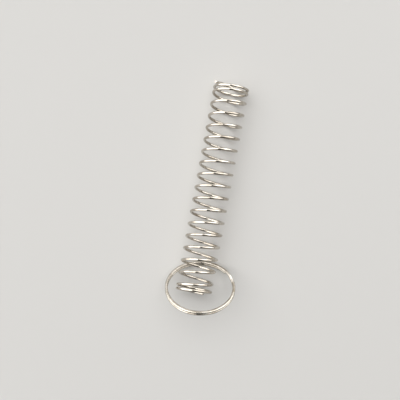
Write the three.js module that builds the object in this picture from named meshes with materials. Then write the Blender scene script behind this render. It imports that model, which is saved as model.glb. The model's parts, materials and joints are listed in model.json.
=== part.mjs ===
// Ring-and-spring toy lying on a table: an open-coiled wire spring with a two-leaf split ring
// hooked round its lower end. Millimetres, +Z up, the spring's axis along +Y and the ring towards -Y.
import * as THREE from "three";

// Spring wire and coil
const WIRE_DIAMETER = 1.07;
const COIL_OUTER_DIAMETER = 14.2;
const OPEN_PITCH = 4.77;
const CLOSED_TURN_GAP = 0.38; // between neighbouring closed turns

// Turns of the spring, from its lower end up
const LOWER_CLOSED_TURNS = 1.37;
const OPEN_TURNS = 16.18;
const UPPER_CLOSED_TURNS = 1.775;
const PITCH_CHANGE_TURNS = 0.4; // how much of a turn the pitch opens out or closes up over
const CUT_PAST_CLOSED_TURNS = 0.25; // each end piece keeps this much of the open coil
const LOWER_END_ANGLE = 53; // degrees from +X towards -Z, where the wire's lower end is
const BOW_TURNS = 0.38; // the last part of the wire, which bows away from its neighbour
const BOW_TOP_TURNS = 0.13; // from the top of that bow to the wire's upper end
const BOW_RISE = 1.9;
const BOW_RETURN = 0.9; // how far the upper end comes back from the top of the bow

// Split ring: one flat wire wound into two stacked leaves, joined by a crossing
const RING_OUTER_DIAMETER = 27;
const LEAF_WIDTH = 1.1;
const LEAF_THICKNESS = 0.84;
const LEAF_CHAMFER = 0.2;
const LEAF_GAP = 0.12;
const CROSSING_START_ANGLE = 11; // degrees round the ring from its right side
const CROSSING_SWEEP = 26;
const LEAF_END_GAP = 0.35; // between each leaf's cut end and the crossing

// Where the ring hangs on the spring
const RING_SLACK = 1.25; // between the top of the coil and the ring's near arc, when slid along it
const RING_TURN = 10.5; // degrees about the upright
const RING_OFFSET_X = 2.2;
const RING_CENTRE_ALONG = 2.35; // from the wire's lower end, along the axis
const RING_CLEARANCE = 0.3; // between the ring and the coil it passes under

// Clearance of the cuts that part the end turns from the open coil
const CUT_GAP = 0.3;

// Facets
const WIRE_SIDES = 8;
const STEPS_PER_TURN = 24;
const PATH_SAMPLES_PER_TURN = 60;

const coilRadius = (COIL_OUTER_DIAMETER - WIRE_DIAMETER) / 2;
const closedPitch = WIRE_DIAMETER + CLOSED_TURN_GAP;
const totalTurns = LOWER_CLOSED_TURNS + OPEN_TURNS + UPPER_CLOSED_TURNS;
const openFrom = LOWER_CLOSED_TURNS;
const openTo = LOWER_CLOSED_TURNS + OPEN_TURNS;

const radians = THREE.MathUtils.degToRad;

// The integral of a smooth step that rises from 0 to 1 over a width centred on a place.
function rampIntegral(place, centre, width) {
  const across = THREE.MathUtils.clamp((place - centre) / width + 0.5, 0, 1);
  const curved = width * (across ** 3 - across ** 4 / 2);
  return curved + Math.max(0, place - centre - width / 2);
}

// Distance along the axis reached after a number of turns from the wire's lower end.
function heightAt(turns) {
  const opened = rampIntegral(turns, openFrom, PITCH_CHANGE_TURNS);
  const closed = rampIntegral(turns, openTo, PITCH_CHANGE_TURNS);
  const bowTop = totalTurns - BOW_TOP_TURNS;
  const bowed = THREE.MathUtils.smoothstep(turns, totalTurns - BOW_TURNS, bowTop);
  const returned = THREE.MathUtils.smoothstep(turns, bowTop, totalTurns);
  const climbed = closedPitch * turns + (OPEN_PITCH - closedPitch) * (opened - closed);
  return climbed + BOW_RISE * bowed - BOW_RETURN * returned;
}

// The spring's centre line between two counts of turns, about the Y axis.
class CoilPath extends THREE.Curve {
  constructor(fromTurns, toTurns) {
    super();
    this.fromTurns = fromTurns;
    this.toTurns = toTurns;
    this.arcLengthDivisions = Math.ceil((toTurns - fromTurns) * PATH_SAMPLES_PER_TURN);
  }

  getPoint(share, target = new THREE.Vector3()) {
    const turns = THREE.MathUtils.lerp(this.fromTurns, this.toTurns, share);
    const angle = radians(LOWER_END_ANGLE) + 2 * Math.PI * turns;
    return target.set(coilRadius * Math.cos(angle), heightAt(turns), -coilRadius * Math.sin(angle));
  }
}

const leafPitch = LEAF_THICKNESS + LEAF_GAP;
const ringRadius = (RING_OUTER_DIAMETER - LEAF_WIDTH) / 2;

// The split ring's centre line about the Z axis: the lower leaf, the crossing, then the upper leaf.
class SplitRingPath extends THREE.Curve {
  constructor() {
    super();
    const endGap = THREE.MathUtils.radToDeg(LEAF_END_GAP / ringRadius);
    this.fromAngle = CROSSING_START_ANGLE + CROSSING_SWEEP + endGap;
    this.toAngle = CROSSING_START_ANGLE + 720 - endGap;
    this.arcLengthDivisions = 4 * PATH_SAMPLES_PER_TURN;
  }

  getPoint(share, target = new THREE.Vector3()) {
    const degrees = THREE.MathUtils.lerp(this.fromAngle, this.toAngle, share);
    const crossing = CROSSING_START_ANGLE + 360;
    const climbed = THREE.MathUtils.smoothstep(degrees, crossing, crossing + CROSSING_SWEEP);
    const angle = radians(degrees);
    return target.set(
      ringRadius * Math.cos(angle),
      ringRadius * Math.sin(angle),
      leafPitch * (climbed - 0.5),
    );
  }

  // Frames that keep the flats of the wire level with the ring; the usual ones roll over the crossing.
  computeFrenetFrames(segments) {
    const frames = { tangents: [], normals: [], binormals: [] };
    for (let step = 0; step <= segments; step++) {
      const tangent = this.getTangentAt(step / segments);
      const outward = this.getPointAt(step / segments).setZ(0).normalize();
      const upward = outward.cross(tangent).normalize();
      frames.tangents.push(tangent);
      frames.normals.push(upward);
      frames.binormals.push(new THREE.Vector3().crossVectors(tangent, upward));
    }
    return frames;
  }
}

// A round wire section.
function roundSection(diameter) {
  const shape = new THREE.Shape();
  for (let side = 0; side < WIRE_SIDES; side++) {
    const angle = (2 * Math.PI * (side + 0.5)) / WIRE_SIDES;
    const x = (diameter / 2) * Math.cos(angle);
    const y = (diameter / 2) * Math.sin(angle);
    if (side === 0) shape.moveTo(x, y);
    else shape.lineTo(x, y);
  }
  shape.closePath();
  return shape;
}

// A flat wire section with its four edges taken off.
function chamferedSection(thickness, width, chamfer) {
  const x = thickness / 2;
  const y = width / 2;
  const shape = new THREE.Shape();
  shape.moveTo(x, -y + chamfer);
  shape.lineTo(x, y - chamfer);
  shape.lineTo(x - chamfer, y);
  shape.lineTo(-x + chamfer, y);
  shape.lineTo(-x, y - chamfer);
  shape.lineTo(-x, -y + chamfer);
  shape.lineTo(-x + chamfer, -y);
  shape.lineTo(x - chamfer, -y);
  shape.closePath();
  return shape;
}

function sweep(section, path, turns) {
  return new THREE.ExtrudeGeometry(section, {
    steps: Math.round(turns * STEPS_PER_TURN),
    extrudePath: path,
    curveSegments: 1,
    bevelEnabled: false,
  });
}

const springSteel = new THREE.MeshStandardMaterial({
  name: "nickel_plated_spring_wire",
  color: 0xc9c8c4,
  metalness: 1,
  roughness: 0.22,
});
const ringSteel = new THREE.MeshStandardMaterial({
  name: "nickel_plated_ring_wire",
  color: 0xd0cdc6,
  metalness: 1,
  roughness: 0.26,
});

function named(name, geometry, material) {
  const mesh = new THREE.Mesh(geometry, material);
  mesh.name = name;
  return mesh;
}

// The spring is one wire, cut at the two ends of its open coil so that the coil can stretch.
const wireLengthPerTurn = Math.hypot(2 * Math.PI * coilRadius, OPEN_PITCH);
const cutTurns = CUT_GAP / wireLengthPerTurn;
const lowerCut = openFrom + CUT_PAST_CLOSED_TURNS;
const upperCut = openTo - CUT_PAST_CLOSED_TURNS;

function springPiece(name, fromTurns, toTurns) {
  const path = new CoilPath(fromTurns, toTurns);
  return named(name, sweep(roundSection(WIRE_DIAMETER), path, toTurns - fromTurns), springSteel);
}

const leaning = new THREE.Group();
leaning.add(springPiece("lower_end_turns", 0, lowerCut));
leaning.add(springPiece("open_coil", lowerCut + cutTurns, upperCut - cutTurns));
leaning.add(springPiece("upper_end_turns", upperCut, totalTurns));

// The ring's far arc passes under the coil; its near arc stands up beyond the lower end. It is tilted
// from the spring's axis just enough to pass over the coil with its clearance below and slack above.
const halfStack = (leafPitch + LEAF_THICKNESS) / 2;
const ringInnerRadius = RING_OUTER_DIAMETER / 2 - LEAF_WIDTH;
const roomNeeded = COIL_OUTER_DIAMETER / 2 + (RING_CLEARANCE + RING_SLACK) / 2;
const tilt =
  Math.asin(roomNeeded / Math.hypot(ringInnerRadius, halfStack)) +
  Math.atan2(halfStack, ringInnerRadius);
const ringCentreHeight =
  ringInnerRadius * Math.sin(tilt) -
  halfStack * Math.cos(tilt) -
  COIL_OUTER_DIAMETER / 2 -
  RING_CLEARANCE;

const ring = new THREE.Group();
const ringSection = chamferedSection(LEAF_THICKNESS, LEAF_WIDTH, LEAF_CHAMFER);
ring.add(named("split_ring", sweep(ringSection, new SplitRingPath(), 2), ringSteel));
ring.rotation.set(-tilt, 0, radians(RING_TURN), "ZXY");
ring.position.set(RING_OFFSET_X, RING_CENTRE_ALONG, ringCentreHeight);
leaning.add(ring);

// The spring leans from the ring it lies on down to the last place where its upper end meets the table.
const edgeTakenOff = LEAF_CHAMFER * Math.min(Math.sin(tilt), Math.cos(tilt));
const ringLowest =
  ringCentreHeight -
  (RING_OUTER_DIAMETER / 2) * Math.sin(tilt) -
  halfStack * Math.cos(tilt) +
  edgeTakenOff;
const ringLowestAlong =
  RING_CENTRE_ALONG + (RING_OUTER_DIAMETER / 2) * Math.cos(tilt) - halfStack * Math.sin(tilt);
const quarterTurn = 0.25;
const endTurn = totalTurns + LOWER_END_ANGLE / 360;
const lastLowTurn = totalTurns - ((endTurn - quarterTurn) % 1);
const drop = -COIL_OUTER_DIAMETER / 2 - ringLowest;
leaning.rotation.x = -Math.atan2(drop, heightAt(lastLowTurn) - ringLowestAlong);

// The origin is under the middle of the whole toy, on the table.
leaning.updateMatrixWorld(true);
const extent = new THREE.Box3().setFromObject(leaning, true);
const middle = extent.getCenter(new THREE.Vector3());
leaning.position.set(-middle.x, -middle.y, -extent.min.z);

const toy = new THREE.Group();
toy.name = "ring_and_spring_toy";
toy.add(leaning);

export default toy;
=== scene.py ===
"""Ring and spring fidget toy, lying on a table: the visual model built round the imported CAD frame.

Everything is in metres, in the frame of the CAD: +Z up, the spring's axis along +Y and leaning a little
towards the table, the split ring hooked round the spring's lower end.
"""

from __future__ import annotations

import json
import logging
import math
from dataclasses import dataclass, field

import bpy
import numpy as np
from mathutils import Matrix, Vector


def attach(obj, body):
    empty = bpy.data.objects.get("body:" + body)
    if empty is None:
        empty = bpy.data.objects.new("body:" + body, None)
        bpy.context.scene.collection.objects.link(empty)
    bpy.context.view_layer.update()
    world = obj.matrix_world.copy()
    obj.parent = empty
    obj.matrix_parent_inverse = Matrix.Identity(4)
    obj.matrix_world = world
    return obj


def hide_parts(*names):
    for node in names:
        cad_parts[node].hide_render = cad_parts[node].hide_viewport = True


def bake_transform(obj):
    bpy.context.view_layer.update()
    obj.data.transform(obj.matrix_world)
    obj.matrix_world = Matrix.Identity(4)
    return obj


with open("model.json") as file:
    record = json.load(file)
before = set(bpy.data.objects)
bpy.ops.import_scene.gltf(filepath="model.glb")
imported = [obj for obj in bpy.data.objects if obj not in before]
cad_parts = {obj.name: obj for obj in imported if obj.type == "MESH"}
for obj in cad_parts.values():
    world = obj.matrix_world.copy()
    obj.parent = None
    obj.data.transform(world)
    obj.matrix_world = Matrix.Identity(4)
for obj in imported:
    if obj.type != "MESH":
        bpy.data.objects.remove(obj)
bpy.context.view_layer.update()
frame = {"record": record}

MM = 0.001

log = logging.getLogger("toy")


# ---------------------------------------------------------------- colour and node helpers


def linear(code: str, alpha: float = 1.0) -> tuple[float, float, float, float]:
    """Turn an sRGB hex colour into the linear values a shader socket takes.

    Args:
        code: The colour as "#rrggbb".
        alpha: The fourth value, passed through.

    Returns:
        Linear red, green and blue, then alpha.
    """
    shares = [int(code[place : place + 2], 16) / 255 for place in (1, 3, 5)]
    turned = [s / 12.92 if s <= 0.04045 else ((s + 0.055) / 1.055) ** 2.4 for s in shares]
    return turned[0], turned[1], turned[2], alpha


def add(
    tree: bpy.types.NodeTree,
    kind: str,
    settings: dict[str, object] | None = None,
    values: dict[str | int, object] | None = None,
) -> bpy.types.Node:
    """Add one node to a tree, with its settings, its socket values and its links.

    Args:
        tree: The node tree that gets the node.
        kind: The node's type name, without the ShaderNode in front.
        settings: Properties of the node itself.
        values: Input sockets by name or number: a value to set, or an output socket to link from.

    Returns:
        The new node.
    """
    node = tree.nodes.new("ShaderNode" + kind)
    for name, value in (settings or {}).items():
        setattr(node, name, value)
    for name, value in (values or {}).items():
        if isinstance(value, bpy.types.NodeSocket):
            tree.links.new(value, node.inputs[name])
        else:
            node.inputs[name].default_value = value
    return node


# ---------------------------------------------------------------- surfaces


@dataclass
class SweptSurface:
    """A closed surface carried along a path: rows of points, one row for each section.

    Attributes:
        rows: Points of the sections, as an array of rows by columns by three, in metres.
        along: Distance of each row along the path, in metres.
        around: Distance of each column round the section, with one more entry to close it, in metres.
    """

    rows: np.ndarray
    along: np.ndarray
    around: np.ndarray

    def corners(self) -> tuple[np.ndarray, np.ndarray]:
        """List the faces' corners as row numbers and column numbers.

        Each face joins a point to the next column, the next row and back. The column number is left
        one past the last column where a face closes the section, for the texture coordinates.

        Returns:
            Row numbers and column numbers, each as an array of faces by four corners.
        """
        count, columns = self.rows.shape[:2]
        row, column = np.meshgrid(np.arange(count - 1), np.arange(columns), indexing="ij")
        row, column = row.ravel(), column.ravel()
        face_rows = np.stack([row, row, row + 1, row + 1], axis=1)
        face_columns = np.stack([column, column + 1, column + 1, column], axis=1)
        return face_rows, face_columns

    def make(self, name: str, attributes: dict[str, np.ndarray] | None = None) -> bpy.types.Object:
        """Build the mesh object, with a pole at each end and a UV map in millimetres.

        The first and last rows are single points, so their quads lose one corner and become triangles.

        Args:
            name: The piece's name.
            attributes: One value for each row, stored on the row's points, by attribute name.

        Returns:
            The new object, linked to the scene at the origin.
        """
        count, columns = self.rows.shape[:2]
        face_rows, face_columns = self.corners()
        place = 1 + (face_rows - 1) * columns + face_columns % columns
        place[face_rows == 0] = 0
        place[face_rows == count - 1] = 1 + (count - 2) * columns
        points = np.concatenate(
            [self.rows[0, :1], self.rows[1:-1].reshape(-1, 3), self.rows[-1, :1]]
        )

        doubled = place == np.roll(place, -1, axis=1)
        kept = ~doubled
        sides = kept.sum(axis=1)
        mesh = bpy.data.meshes.new(name)
        mesh.vertices.add(len(points))
        mesh.vertices.foreach_set("co", points.astype(np.float32).ravel())
        mesh.loops.add(int(sides.sum()))
        mesh.loops.foreach_set("vertex_index", place[kept].astype(np.int32))
        mesh.polygons.add(len(sides))
        mesh.polygons.foreach_set("loop_start", (np.cumsum(sides) - sides).astype(np.int32))
        mesh.update(calc_edges=True)
        mesh.validate()
        mesh.polygons.foreach_set("use_smooth", np.ones(len(sides), bool))

        uv = np.stack([self.along[face_rows[kept]], self.around[face_columns[kept]]], axis=1) / MM
        mesh.uv_layers.new(name="surface").data.foreach_set("uv", uv.astype(np.float32).ravel())
        per_row = np.concatenate([[0], np.repeat(np.arange(1, count - 1), columns), [count - 1]])
        for key, values in (attributes or {}).items():
            stored = mesh.attributes.new(key, "FLOAT", "POINT")
            stored.data.foreach_set("value", values[per_row].astype(np.float32))

        piece = bpy.data.objects.new(name, mesh)
        bpy.context.scene.collection.objects.link(piece)
        return piece


def unit(vectors: np.ndarray) -> np.ndarray:
    """Scale each vector in an array to length one."""
    return vectors / np.linalg.norm(vectors, axis=-1, keepdims=True)


def smooth_step(values: np.ndarray, low: float, high: float) -> np.ndarray:
    """Rise smoothly from 0 at low to 1 at high, three times the square less twice the cube."""
    share = np.clip((values - low) / (high - low), 0, 1)
    return share * share * (3 - 2 * share)


def ramp_integral(place: np.ndarray, centre: float, width: float) -> np.ndarray:
    """Integrate a smooth step from 0 to 1 that is spread over a width about a centre."""
    share = np.clip((place - centre) / width + 0.5, 0, 1)
    return width * (share**3 - share**4 / 2) + np.maximum(0, place - centre - width / 2)


@dataclass(frozen=True)
class CutEnd:
    """A sheared end of wire: a flat face with its edge rolled over.

    Attributes:
        edge: How far the rolled edge reaches back from the face, as a share of the half thickness.
        inner_ring: Size of the face's inner ring of points, as a share of the half thickness.
        outer_ring: Size of its outer ring, before half the edge is taken off it.
        rows: How many sections the edge has.
    """

    edge: float = 0.28
    inner_ring: float = 0.4
    outer_ring: float = 0.8
    rows: int = 6

    def profile(self) -> tuple[np.ndarray, np.ndarray]:
        """Work out the end's sections, from the middle of the face out to the full wire.

        The face is a middle point and two rings. The edge is a quarter circle from the face to the
        wire's side: it goes back by one less the cosine, and is short of the side by one less the sine.

        Returns:
            Distances back from the face and sizes of the sections, as shares of the half thickness.
        """
        turn = np.linspace(0, math.pi / 2, self.rows)
        back = np.concatenate([[0, 0, 0], self.edge * (1 - np.cos(turn))])
        face = [0, self.inner_ring, self.outer_ring - self.edge / 2]
        size = np.concatenate([face, 1 - self.edge * (1 - np.sin(turn))])
        return back, size


# ---------------------------------------------------------------- finishes


@dataclass(frozen=True)
class NickelPlate:
    """Bright nickel plate over steel wire, with the marks its making leaves.

    Attributes:
        name: The finish, as a maker would say it.
        bright: Colour of the clean plate.
        shaded: Colour where the plate is thin or handled.
        smooth: Roughness where the plate is brightest.
        dull: Roughness in the lines, pits and handled places.
        line_length: Length of the die lines along the wire, in millimetres.
        line_width: Spacing of the die lines round the wire, in millimetres.
        cloud: Size of the handled patches, in millimetres.
        pit: Size of the fine pits, in millimetres.
        depth: Height of the lines in the surface, in millimetres.
        pit_share: Height of the pits, as a share of the lines' height.
        cloud_from: Noise level at which the handled patches start.
        cloud_to: Noise level at which they are at their strongest.
        line_from: Noise level at which the die lines start.
        line_to: Noise level at which they are at their strongest.
    """

    name: str
    bright: str
    shaded: str
    smooth: float
    dull: float
    line_length: float
    line_width: float
    cloud: float
    pit: float
    depth: float
    pit_share: float = 0.4
    cloud_from: float = 0.42
    cloud_to: float = 0.68
    line_from: float = 0.45
    line_to: float = 0.75

    def material(self) -> bpy.types.Material:
        """Make the material from the plate's values.

        The die lines are noise stretched along the wire. The handled patches are a broad noise on the
        object, and the pits a fine one. The lines and the pits set the bump. The patches set the tint,
        and the stronger of the patches and the lines sets the roughness.

        Returns:
            The finished material.
        """
        made = bpy.data.materials.new(self.name)
        made.use_nodes = True
        tree = made.node_tree
        tree.nodes.clear()
        surface = add(tree, "UVMap", {"uv_map": "surface"})
        place = add(tree, "TexCoord")
        spacing = (1 / self.line_length, 1 / self.line_width, 1.0)
        stretched = add(tree, "Mapping", values={"Vector": surface.outputs["UV"], "Scale": spacing})
        lines = add(
            tree,
            "TexNoise",
            values={"Vector": stretched.outputs["Vector"], "Scale": 1.0, "Detail": 3.0},
        )
        clouds = add(
            tree,
            "TexNoise",
            values={
                "Vector": place.outputs["Object"],
                "Scale": 1 / (self.cloud * MM),
                "Detail": 4.0,
                "Roughness": 0.6,
            },
        )
        pits = add(
            tree,
            "TexNoise",
            values={
                "Vector": place.outputs["Object"],
                "Scale": 1 / (self.pit * MM),
                "Detail": 2.0,
            },
        )
        handled = add(
            tree,
            "MapRange",
            values={
                "Value": clouds.outputs["Fac"],
                "From Min": self.cloud_from,
                "From Max": self.cloud_to,
            },
        )
        marked = add(
            tree,
            "MapRange",
            values={
                "Value": lines.outputs["Fac"],
                "From Min": self.line_from,
                "From Max": self.line_to,
            },
        )
        both = add(
            tree,
            "Math",
            {"operation": "MAXIMUM"},
            {0: handled.outputs["Result"], 1: marked.outputs["Result"]},
        )
        tint = add(
            tree,
            "Mix",
            {"data_type": "RGBA"},
            {
                "Factor": handled.outputs["Result"],
                "A": linear(self.bright),
                "B": linear(self.shaded),
            },
        )
        rough = add(
            tree,
            "MapRange",
            values={
                "Value": both.outputs["Value"],
                "To Min": self.smooth,
                "To Max": self.dull,
            },
        )
        relief = add(
            tree,
            "Math",
            {"operation": "MULTIPLY_ADD"},
            {0: pits.outputs["Fac"], 1: self.pit_share, 2: lines.outputs["Fac"]},
        )
        bump = add(
            tree,
            "Bump",
            values={
                "Height": relief.outputs["Value"],
                "Distance": self.depth * MM,
                "Strength": 1.0,
            },
        )
        shader = add(
            tree,
            "BsdfPrincipled",
            values={
                "Base Color": tint.outputs["Result"],
                "Metallic": 1.0,
                "Roughness": rough.outputs["Result"],
                "Normal": bump.outputs["Normal"],
            },
        )
        add(tree, "OutputMaterial", values={"Surface": shader.outputs["BSDF"]})
        return made


# Cold drawn spring wire, coiled, then barrel plated: mirror bright, with faint lines along the wire.
# Real die lines and pits are a few hundredths of a millimetre across, too fine to show, so both are
# drawn several times coarser here and on the ring.
SPRING_PLATE = NickelPlate(
    name="nickel_plated_drawn_spring_wire",
    bright="#c2bcb2",
    shaded="#a1988b",
    smooth=0.06,
    dull=0.18,
    line_length=6.0,
    line_width=0.22,
    cloud=5.0,
    pit=0.12,
    depth=0.0016,
)

# Flat wire, rolled, wound into a split ring and barrel polished: a softer shine and a warmer white.
RING_PLATE = NickelPlate(
    name="nickel_plated_flat_ring_wire",
    bright="#c8c2b8",
    shaded="#a59c8d",
    smooth=0.08,
    dull=0.22,
    line_length=4.0,
    line_width=0.16,
    cloud=3.5,
    pit=0.10,
    depth=0.0012,
)


# ---------------------------------------------------------------- sub-assemblies


@dataclass
class Lie:
    """How the toy lies: a point and three directions that its pieces are placed by.

    Attributes:
        origin: The spring's axis, level with the wire's lower end.
        across: The direction of +X.
        along: The direction of the spring's axis, towards its free end.
        upward: The direction across the axis, away from the table.
    """

    origin: np.ndarray
    across: np.ndarray
    along: np.ndarray
    upward: np.ndarray

    def point(self, across: float, along: float, upward: float) -> np.ndarray:
        """Turn distances along the three directions into a place, in metres."""
        return self.origin + across * self.across + along * self.along + upward * self.upward


@dataclass
class Spring:
    """The open-coiled spring: one round wire with closed turns and a cut end at both ends.

    Attributes:
        wire: Diameter of the wire.
        coil: Outer diameter of the coil.
        open_pitch: Rise of each open turn.
        closed_gap: Room between neighbouring closed turns.
        lower_closed: Closed turns at the lower end.
        opened: Open turns.
        upper_closed: Closed turns at the free end.
        pitch_change: How much of a turn the pitch changes over.
        rigid_past_closed: How much of the open coil at each end is counted with the closed turns in the
            stretch share.
        lower_end_angle: Where the wire's lower end is, in degrees from +X towards the table.
        bow_turns: The last part of the wire, which bows away from its neighbour, in turns.
        bow_top_turns: From the top of that bow to the wire's upper end, in turns.
        bow_rise: How far the bow stands off.
        bow_return: How far the upper end comes back from the top of the bow.
        steps_per_turn: Sections of wire in each turn.
        columns: Points round each section.
        nudge: Turns either side of a section that its direction is taken from.
        finish: The wire's finish.
        cut: The shape of its two ends.
    """

    wire: float = 1.07 * MM
    coil: float = 14.2 * MM
    open_pitch: float = 4.77 * MM
    closed_gap: float = 0.38 * MM
    lower_closed: float = 1.37
    opened: float = 16.18
    upper_closed: float = 1.775
    pitch_change: float = 0.4
    rigid_past_closed: float = 0.25
    lower_end_angle: float = 53.0
    bow_turns: float = 0.38
    bow_top_turns: float = 0.13
    bow_rise: float = 1.9 * MM
    bow_return: float = 0.9 * MM
    steps_per_turn: int = 90
    columns: int = 24
    nudge: float = 0.0001
    finish: NickelPlate = SPRING_PLATE
    cut: CutEnd = field(default_factory=CutEnd)

    @property
    def radius(self) -> float:
        """Radius of the wire's centre line about the axis."""
        return (self.coil - self.wire) / 2

    @property
    def turns(self) -> float:
        """Turns from one cut end to the other."""
        return self.lower_closed + self.opened + self.upper_closed

    def height(self, turns: np.ndarray) -> np.ndarray:
        """Work out how far along the axis the wire has climbed.

        The closed pitch times the turns, plus the extra pitch times the open turns passed, plus the
        rise of the bow, less what the upper end comes back. The pitch changes as a smooth step, so
        its integral is used.

        Args:
            turns: Turns from the wire's lower end.

        Returns:
            Distances along the axis.
        """
        closed_pitch = self.wire + self.closed_gap
        passed = ramp_integral(turns, self.lower_closed, self.pitch_change)
        passed -= ramp_integral(turns, self.lower_closed + self.opened, self.pitch_change)
        climbed = closed_pitch * turns + (self.open_pitch - closed_pitch) * passed
        bow_top = self.turns - self.bow_top_turns
        bowed = smooth_step(turns, self.turns - self.bow_turns, bow_top)
        returned = smooth_step(turns, bow_top, self.turns)
        return climbed + self.bow_rise * bowed - self.bow_return * returned

    def centre_line(self, turns: np.ndarray, lie: Lie) -> np.ndarray:
        """Place the wire's centre line: a circle about the axis that climbs with the turns.

        Args:
            turns: Turns from the wire's lower end.
            lie: How the toy lies.

        Returns:
            One point for each count of turns.
        """
        angle = math.radians(self.lower_end_angle) + 2 * math.pi * turns
        sideways = self.radius * np.cos(angle)[:, None] * lie.across
        upward = -self.radius * np.sin(angle)[:, None] * lie.upward
        return lie.origin + sideways + upward + self.height(turns)[:, None] * lie.along

    def build(self, lie: Lie) -> bpy.types.Object:
        """Build the whole wire as one piece.

        A round section is carried along the centre line, square to it, and shrinks to a point through
        the flat cut face at each end.

        Args:
            lie: How the toy lies.

        Returns:
            The spring.
        """
        per_turn = 2 * math.pi * self.radius
        back, size = self.cut.profile()
        face = back * self.wire / 2 / per_turn
        steps = int(self.turns * self.steps_per_turn)
        middle = np.linspace(face[-1], self.turns - face[-1], steps)[1:-1]
        turns = np.concatenate([face, middle, self.turns - face[::-1]])
        sizes = np.concatenate([size, np.ones(len(middle)), size[::-1]]) * self.wire / 2

        centres = self.centre_line(turns, lie)
        ahead = self.centre_line(turns + self.nudge, lie)
        behind = self.centre_line(turns - self.nudge, lie)
        tangent = unit(ahead - behind)
        axis_point = lie.origin + ((centres - lie.origin) @ lie.along)[:, None] * lie.along
        outward = unit(centres - axis_point)
        beside = unit(np.cross(tangent, outward))
        angle = math.pi + np.linspace(0, 2 * math.pi, self.columns + 1)
        ring = np.cos(angle[:-1])[:, None] * outward[:, None]
        ring = ring + np.sin(angle[:-1])[:, None] * beside[:, None]
        surface = SweptSurface(
            rows=centres[:, None] + sizes[:, None, None] * ring,
            along=turns * per_turn,
            around=np.linspace(0, math.pi * self.wire, self.columns + 1),
        )

        piece = surface.make("spring_wire")
        self.stretch(piece, turns)
        return piece

    def stretch(self, piece: bpy.types.Object, turns: np.ndarray) -> None:
        """Bake the wire's placement into its mesh, and work out each section's share of the open coil's
        climb.

        The share follows the centre line's climb through the open coil, from 0 where the lower end
        turns stop to 1 where the upper ones start. It is not stored on the mesh, so the wire does not
        stretch.

        Args:
            piece: The spring.
            turns: Turns at each section of its mesh.
        """
        low = self.lower_closed + self.rigid_past_closed
        high = self.lower_closed + self.opened - self.rigid_past_closed
        ends = self.height(np.array([low, high]))
        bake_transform(piece)
        share = np.clip((self.height(turns) - ends[0]) / (ends[1] - ends[0]), 0, 1)

    def dress(self, piece: bpy.types.Object) -> None:
        """Give the spring its finish, and say which CAD nodes it stands for.

        Args:
            piece: The spring.
        """
        piece.data.materials.append(self.finish.material())
        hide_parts("lower_end_turns", "open_coil", "upper_end_turns")


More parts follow.
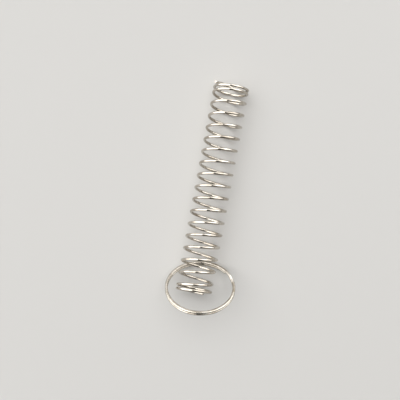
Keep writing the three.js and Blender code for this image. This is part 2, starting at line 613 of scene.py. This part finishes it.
@dataclass
class SplitRing:
    """The split ring: flat wire wound into two leaves that a crossing joins.

    Attributes:
        outer: Outer diameter of the ring.
        width: Width of a leaf, across the ring.
        thickness: Thickness of a leaf.
        gap: Room between the leaves.
        crossing_start: Where the crossing leaves the lower leaf, in degrees round the ring.
        crossing_sweep: Angle over which the crossing climbs.
        end_gap: Room between each leaf's cut end and the crossing.
        turn: The ring's turn about the upright, in degrees.
        offset: How far the ring's centre is to the side of the spring's axis.
        centre_along: How far along the spring the ring's centre is.
        clearance: Room between the ring and the coil it passes under.
        squareness: Power of the section's outline; 2 is an ellipse, and more is squarer.
        sections: Sections of wire in the whole ring.
        columns: Points round each section.
        nudge: Degrees either side of a section that its slope is taken from.
        finish: The wire's finish.
        cut: The shape of its two ends.
    """

    outer: float = 27.0 * MM
    width: float = 1.1 * MM
    thickness: float = 0.84 * MM
    gap: float = 0.12 * MM
    crossing_start: float = 11.0
    crossing_sweep: float = 26.0
    end_gap: float = 0.35 * MM
    turn: float = 10.5
    offset: float = 2.2 * MM
    centre_along: float = 2.35 * MM
    clearance: float = 0.3 * MM
    squareness: float = 3.0
    sections: int = 720
    columns: int = 32
    nudge: float = 0.1
    finish: NickelPlate = RING_PLATE
    cut: CutEnd = field(default_factory=lambda: CutEnd(edge=0.2))

    @property
    def radius(self) -> float:
        """Radius of the leaves' centre line."""
        return (self.outer - self.width) / 2

    @property
    def half_stack(self) -> float:
        """Half the height of the two leaves together."""
        return self.thickness + self.gap / 2

    def centre_height(self, tilt: float, coil: float) -> float:
        """Work out how far the ring's centre is above the spring's axis.

        The ring's far arc clears the underside of the coil: the inner radius times the sine of the
        tilt, less the half stack times its cosine, less the coil's radius and the clearance.

        Args:
            tilt: Angle between the ring's plane and the spring's axis, in radians.
            coil: Outer diameter of the coil.

        Returns:
            The height across the axis.
        """
        inner = self.outer / 2 - self.width
        reach = inner * math.sin(tilt) - self.half_stack * math.cos(tilt)
        return reach - coil / 2 - self.clearance

    def climbed(self, degrees: np.ndarray) -> np.ndarray:
        """Work out how much of the crossing the wire has climbed, from 0 on the lower leaf to 1."""
        crossing = self.crossing_start + 360
        return smooth_step(degrees, crossing, crossing + self.crossing_sweep)

    def slope(self, degrees: np.ndarray) -> np.ndarray:
        """Work out the wire's slope, as the climb over a small angle divided by the way round it.

        Args:
            degrees: Angles round the ring.

        Returns:
            Climb for each unit of length along the wire.
        """
        climb = self.climbed(degrees + self.nudge) - self.climbed(degrees - self.nudge)
        way_round = self.radius * math.radians(2 * self.nudge)
        return (self.thickness + self.gap) * climb / way_round

    def build(self, centre: np.ndarray, sideways: np.ndarray, normal: np.ndarray) -> bpy.types.Object:
        """Build the ring as one piece.

        The centre line is a circle that climbs from the lower leaf to the upper one over the crossing.
        Its section is a squared ellipse, with its flats along the ring's plane: the cosine and the sine
        of the angle round it, each raised to two over the squareness with its sign kept.

        Args:
            centre: The ring's centre.
            sideways: Direction from the centre to the place that angles are counted from.
            normal: Direction from the lower leaf to the upper one.

        Returns:
            The ring.
        """
        end_gap = math.degrees(self.end_gap / self.radius)
        first = self.crossing_start + self.crossing_sweep + end_gap
        last = self.crossing_start + 720 - end_gap
        back, size = self.cut.profile()
        face = np.degrees(back * self.thickness / 2 / self.radius)
        middle = np.linspace(first + face[-1], last - face[-1], self.sections)[1:-1]
        degrees = np.concatenate([first + face, middle, last - face[::-1]])
        sizes = np.concatenate([size, np.ones(len(middle)), size[::-1]])

        level = (self.thickness + self.gap) * (self.climbed(degrees) - 0.5)
        angle = np.radians(degrees)
        forward = np.cross(normal, sideways)
        outward = np.cos(angle)[:, None] * sideways + np.sin(angle)[:, None] * forward
        centres = centre + self.radius * outward + level[:, None] * normal
        slope = self.slope(degrees)
        circling = np.cross(normal, outward)
        flat = unit(normal - slope[:, None] * circling)

        round_section = math.pi + np.linspace(0, 2 * math.pi, self.columns + 1)
        power = 2 / self.squareness
        wide = np.sign(np.cos(round_section)) * np.abs(np.cos(round_section)) ** power
        tall = np.sign(np.sin(round_section)) * np.abs(np.sin(round_section)) ** power
        section = wide[:-1, None] * self.width / 2 * outward[:, None]
        section = section - tall[:-1, None] * self.thickness / 2 * flat[:, None]
        perimeter = 2 * (self.width + self.thickness)
        surface = SweptSurface(
            rows=centres[:, None] + sizes[:, None, None] * section,
            along=self.radius * angle,
            around=np.linspace(0, perimeter, self.columns + 1),
        )
        return surface.make("split_ring_wire")

    def dress(self, piece: bpy.types.Object) -> None:
        """Give the ring its finish, and say which CAD node and body it belongs to.

        Args:
            piece: The ring.
        """
        piece.data.materials.append(self.finish.material())
        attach(piece, "ring")
        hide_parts("split_ring")


@dataclass
class Toy:
    """The whole toy: the spring and the split ring, placed from the CAD record.

    Attributes:
        spring: The spring's sizes.
        ring: The split ring's sizes.
    """

    spring: Spring = field(default_factory=Spring)
    ring: SplitRing = field(default_factory=SplitRing)

    def build(self) -> Lie:
        """Build and dress both pieces.

        The record's joint axis is the spring's axis. Its flat face mount is on the ring's near arc, so
        the ring's centre is half a stack below it and a radius further on.

        Returns:
            How the toy lies.
        """
        record = frame["record"]
        along = unit(np.array(record["behaviour"]["joints"][0]["axis"]))
        across = np.array([1.0, 0.0, 0.0])
        upward = np.cross(across, along)
        face = record["mounts"][0]
        normal = unit(np.array(face["axis"]))
        turn = math.radians(self.ring.turn)
        sideways = math.cos(turn) * across + math.sin(turn) * along
        forward = np.cross(normal, sideways)
        mount = np.array(face["pos_m"])
        centre = mount - self.ring.half_stack * normal + self.ring.radius * forward

        tilt = math.acos(normal @ upward)
        height = self.ring.centre_height(tilt, self.spring.coil)
        origin = centre - self.ring.offset * across - self.ring.centre_along * along - height * upward
        lie = Lie(origin, across, along, upward)

        spring = self.spring.build(lie)
        self.spring.dress(spring)
        report(spring)
        ring = self.ring.build(centre, sideways, normal)
        self.ring.dress(ring)
        report(ring)
        return lie


# ---------------------------------------------------------------- table, light and camera


@dataclass(frozen=True)
class SoftBox:
    """A rectangular studio light that faces the toy.

    Attributes:
        name: The light's name.
        place: Where it is, from the middle of the toy.
        width: Its level size.
        height: Its other size.
        power: Its power in watts.
        colour: Its colour.
    """

    name: str
    place: tuple[float, float, float]
    width: float
    height: float
    power: float
    colour: str = "#ffffff"

    def build(self, middle: Vector) -> None:
        """Put the light in the scene, facing the middle of the toy, for the metal alone to mirror.

        Args:
            middle: The middle of the toy.
        """
        data = bpy.data.lights.new(self.name, "AREA")
        data.shape = "RECTANGLE"
        data.size = self.width
        data.size_y = self.height
        data.energy = self.power
        data.color = linear(self.colour)[:3]
        light = bpy.data.objects.new(self.name, data)
        bpy.context.scene.collection.objects.link(light)
        light.location = middle + Vector(self.place)
        light.rotation_euler = (-Vector(self.place)).to_track_quat("-Z", "Y").to_euler()
        light.visible_camera = False
        light.visible_diffuse = False


@dataclass(frozen=True)
class Studio:
    """The plain pale table, the light on it, the softboxes and the camera over the toy.

    Attributes:
        table: Colour of the table.
        table_size: Length of the table's sides.
        table_roughness: Roughness of its matt top.
        surround: Colour of the room that the metal mirrors.
        surround_strength: Brightness of that room.
        daylight: Light that falls on the table from the whole ceiling, in watts for each square metre.
        daylight_spread: Angle that the ceiling's light comes from, in degrees.
        daylight_from: Direction that its middle comes from.
        frame_width: Width of the camera's frame, in millimetres.
        lens: Focal length, in millimetres.
        distance: How far the camera is from the point it looks at.
        aim_across: Where it looks, to the side of the spring's axis.
        aim_along: Where it looks, along the spring from the wire's lower end.
        tilt: Angle between the camera's line of sight and the square to the spring, in degrees.
        roll: Turn of the camera about its line of sight, in degrees.
        nearest: How close to the camera a thing may be and still show.
        boxes: The softboxes that the metal mirrors.
    """

    table: str = "#d2d0cc"
    table_size: float = 24.0
    table_roughness: float = 0.7
    surround: str = "#8f9196"
    surround_strength: float = 0.16
    daylight: float = 3.1
    daylight_spread: float = 80.0
    daylight_from: tuple[float, float, float] = (-0.35, 0.25, 1.0)
    frame_width: float = 36.0
    lens: float = 74.2
    distance: float = 319.5 * MM
    aim_across: float = -4.0 * MM
    aim_along: float = 35.46 * MM
    tilt: float = 5.04
    roll: float = 10.57
    nearest: float = 10 * MM
    boxes: tuple[SoftBox, ...] = (
        SoftBox("left_softbox", (-0.43, -0.02, 0.34), 1.5, 0.96, 14.5),
        SoftBox("right_softbox", (0.31, 0.25, 0.38), 0.95, 0.80, 7.2),
        SoftBox("far_softbox", (0.05, 0.62, 0.17), 1.0, 0.34, 1.3),
    )

    def build(self, lie: Lie) -> None:
        """Set up the table, the room, the lights and the camera.

        Args:
            lie: How the toy lies.
        """
        self.lay_table()
        self.light_room()
        self.light_table()
        middle = Vector(lie.point(0, self.aim_along, 0))
        for box in self.boxes:
            box.build(middle)
        self.set_camera(lie)

    def lay_table(self) -> None:
        """Lay the table: one flat square of matt laminate under the toy."""
        half = self.table_size / 2
        corners = [(-half, -half, 0), (half, -half, 0), (half, half, 0), (-half, half, 0)]
        mesh = bpy.data.meshes.new("table")
        mesh.from_pydata(corners, [], [(0, 1, 2, 3)])
        table = bpy.data.objects.new("table", mesh)
        bpy.context.scene.collection.objects.link(table)
        made = bpy.data.materials.new("matt_pale_laminate")
        made.use_nodes = True
        tree = made.node_tree
        tree.nodes.clear()
        shader = add(
            tree,
            "BsdfPrincipled",
            values={"Base Color": linear(self.table), "Roughness": self.table_roughness},
        )
        add(tree, "OutputMaterial", values={"Surface": shader.outputs["BSDF"]})
        mesh.materials.append(made)

    def light_room(self) -> None:
        """Give the room an even dim grey, which the metal shows between the lights."""
        world = bpy.data.worlds.new("studio")
        world.use_nodes = True
        tree = world.node_tree
        tree.nodes.clear()
        glow = add(
            tree,
            "Background",
            values={"Color": linear(self.surround), "Strength": self.surround_strength},
        )
        add(tree, "OutputWorld", values={"Surface": glow.outputs["Background"]})
        bpy.context.scene.world = world

    def light_table(self) -> None:
        """Light the table evenly from the ceiling, without a reflection of it in the metal."""
        data = bpy.data.lights.new("daylight", "SUN")
        data.energy = self.daylight
        data.angle = math.radians(self.daylight_spread)
        light = bpy.data.objects.new("daylight", data)
        bpy.context.scene.collection.objects.link(light)
        light.rotation_euler = Vector(self.daylight_from).to_track_quat("Z", "Y").to_euler()
        light.visible_glossy = False

    def set_camera(self, lie: Lie) -> None:
        """Hang the camera over the toy, looking nearly square at the spring.

        Args:
            lie: How the toy lies.
        """
        tilt = math.radians(self.tilt)
        sight = math.sin(tilt) * lie.along - math.cos(tilt) * lie.upward
        place = lie.point(self.aim_across, self.aim_along, 0) - self.distance * sight
        top = np.cross(lie.across, sight)
        axes = Matrix.Identity(3)
        axes.col[0], axes.col[1], axes.col[2] = Vector(lie.across), Vector(top), Vector(-sight)
        axes = axes @ Matrix.Rotation(math.radians(self.roll), 3, "Z")
        data = bpy.data.cameras.new("camera")
        data.lens = self.lens
        data.sensor_width = self.frame_width
        data.clip_start = self.nearest
        camera = bpy.data.objects.new("camera", data)
        bpy.context.scene.collection.objects.link(camera)
        camera.matrix_world = Matrix.Translation(Vector(place)) @ axes.to_4x4()
        bpy.context.scene.camera = camera


def report(piece: bpy.types.Object) -> None:
    """Log a finished piece's name and its number of triangles.

    Args:
        piece: The piece.
    """
    triangles = sum(len(face.vertices) - 2 for face in piece.data.polygons)
    log.info("%s: %d triangles", piece.name, triangles)


def main() -> None:
    """Build the toy, then the studio round it."""
    logging.basicConfig(level=logging.INFO, format="%(name)s: %(message)s")
    bpy.context.scene.view_settings.view_transform = "Standard"
    lie = Toy().build()
    Studio().build(lie)


if __name__ == "__main__":
    main()
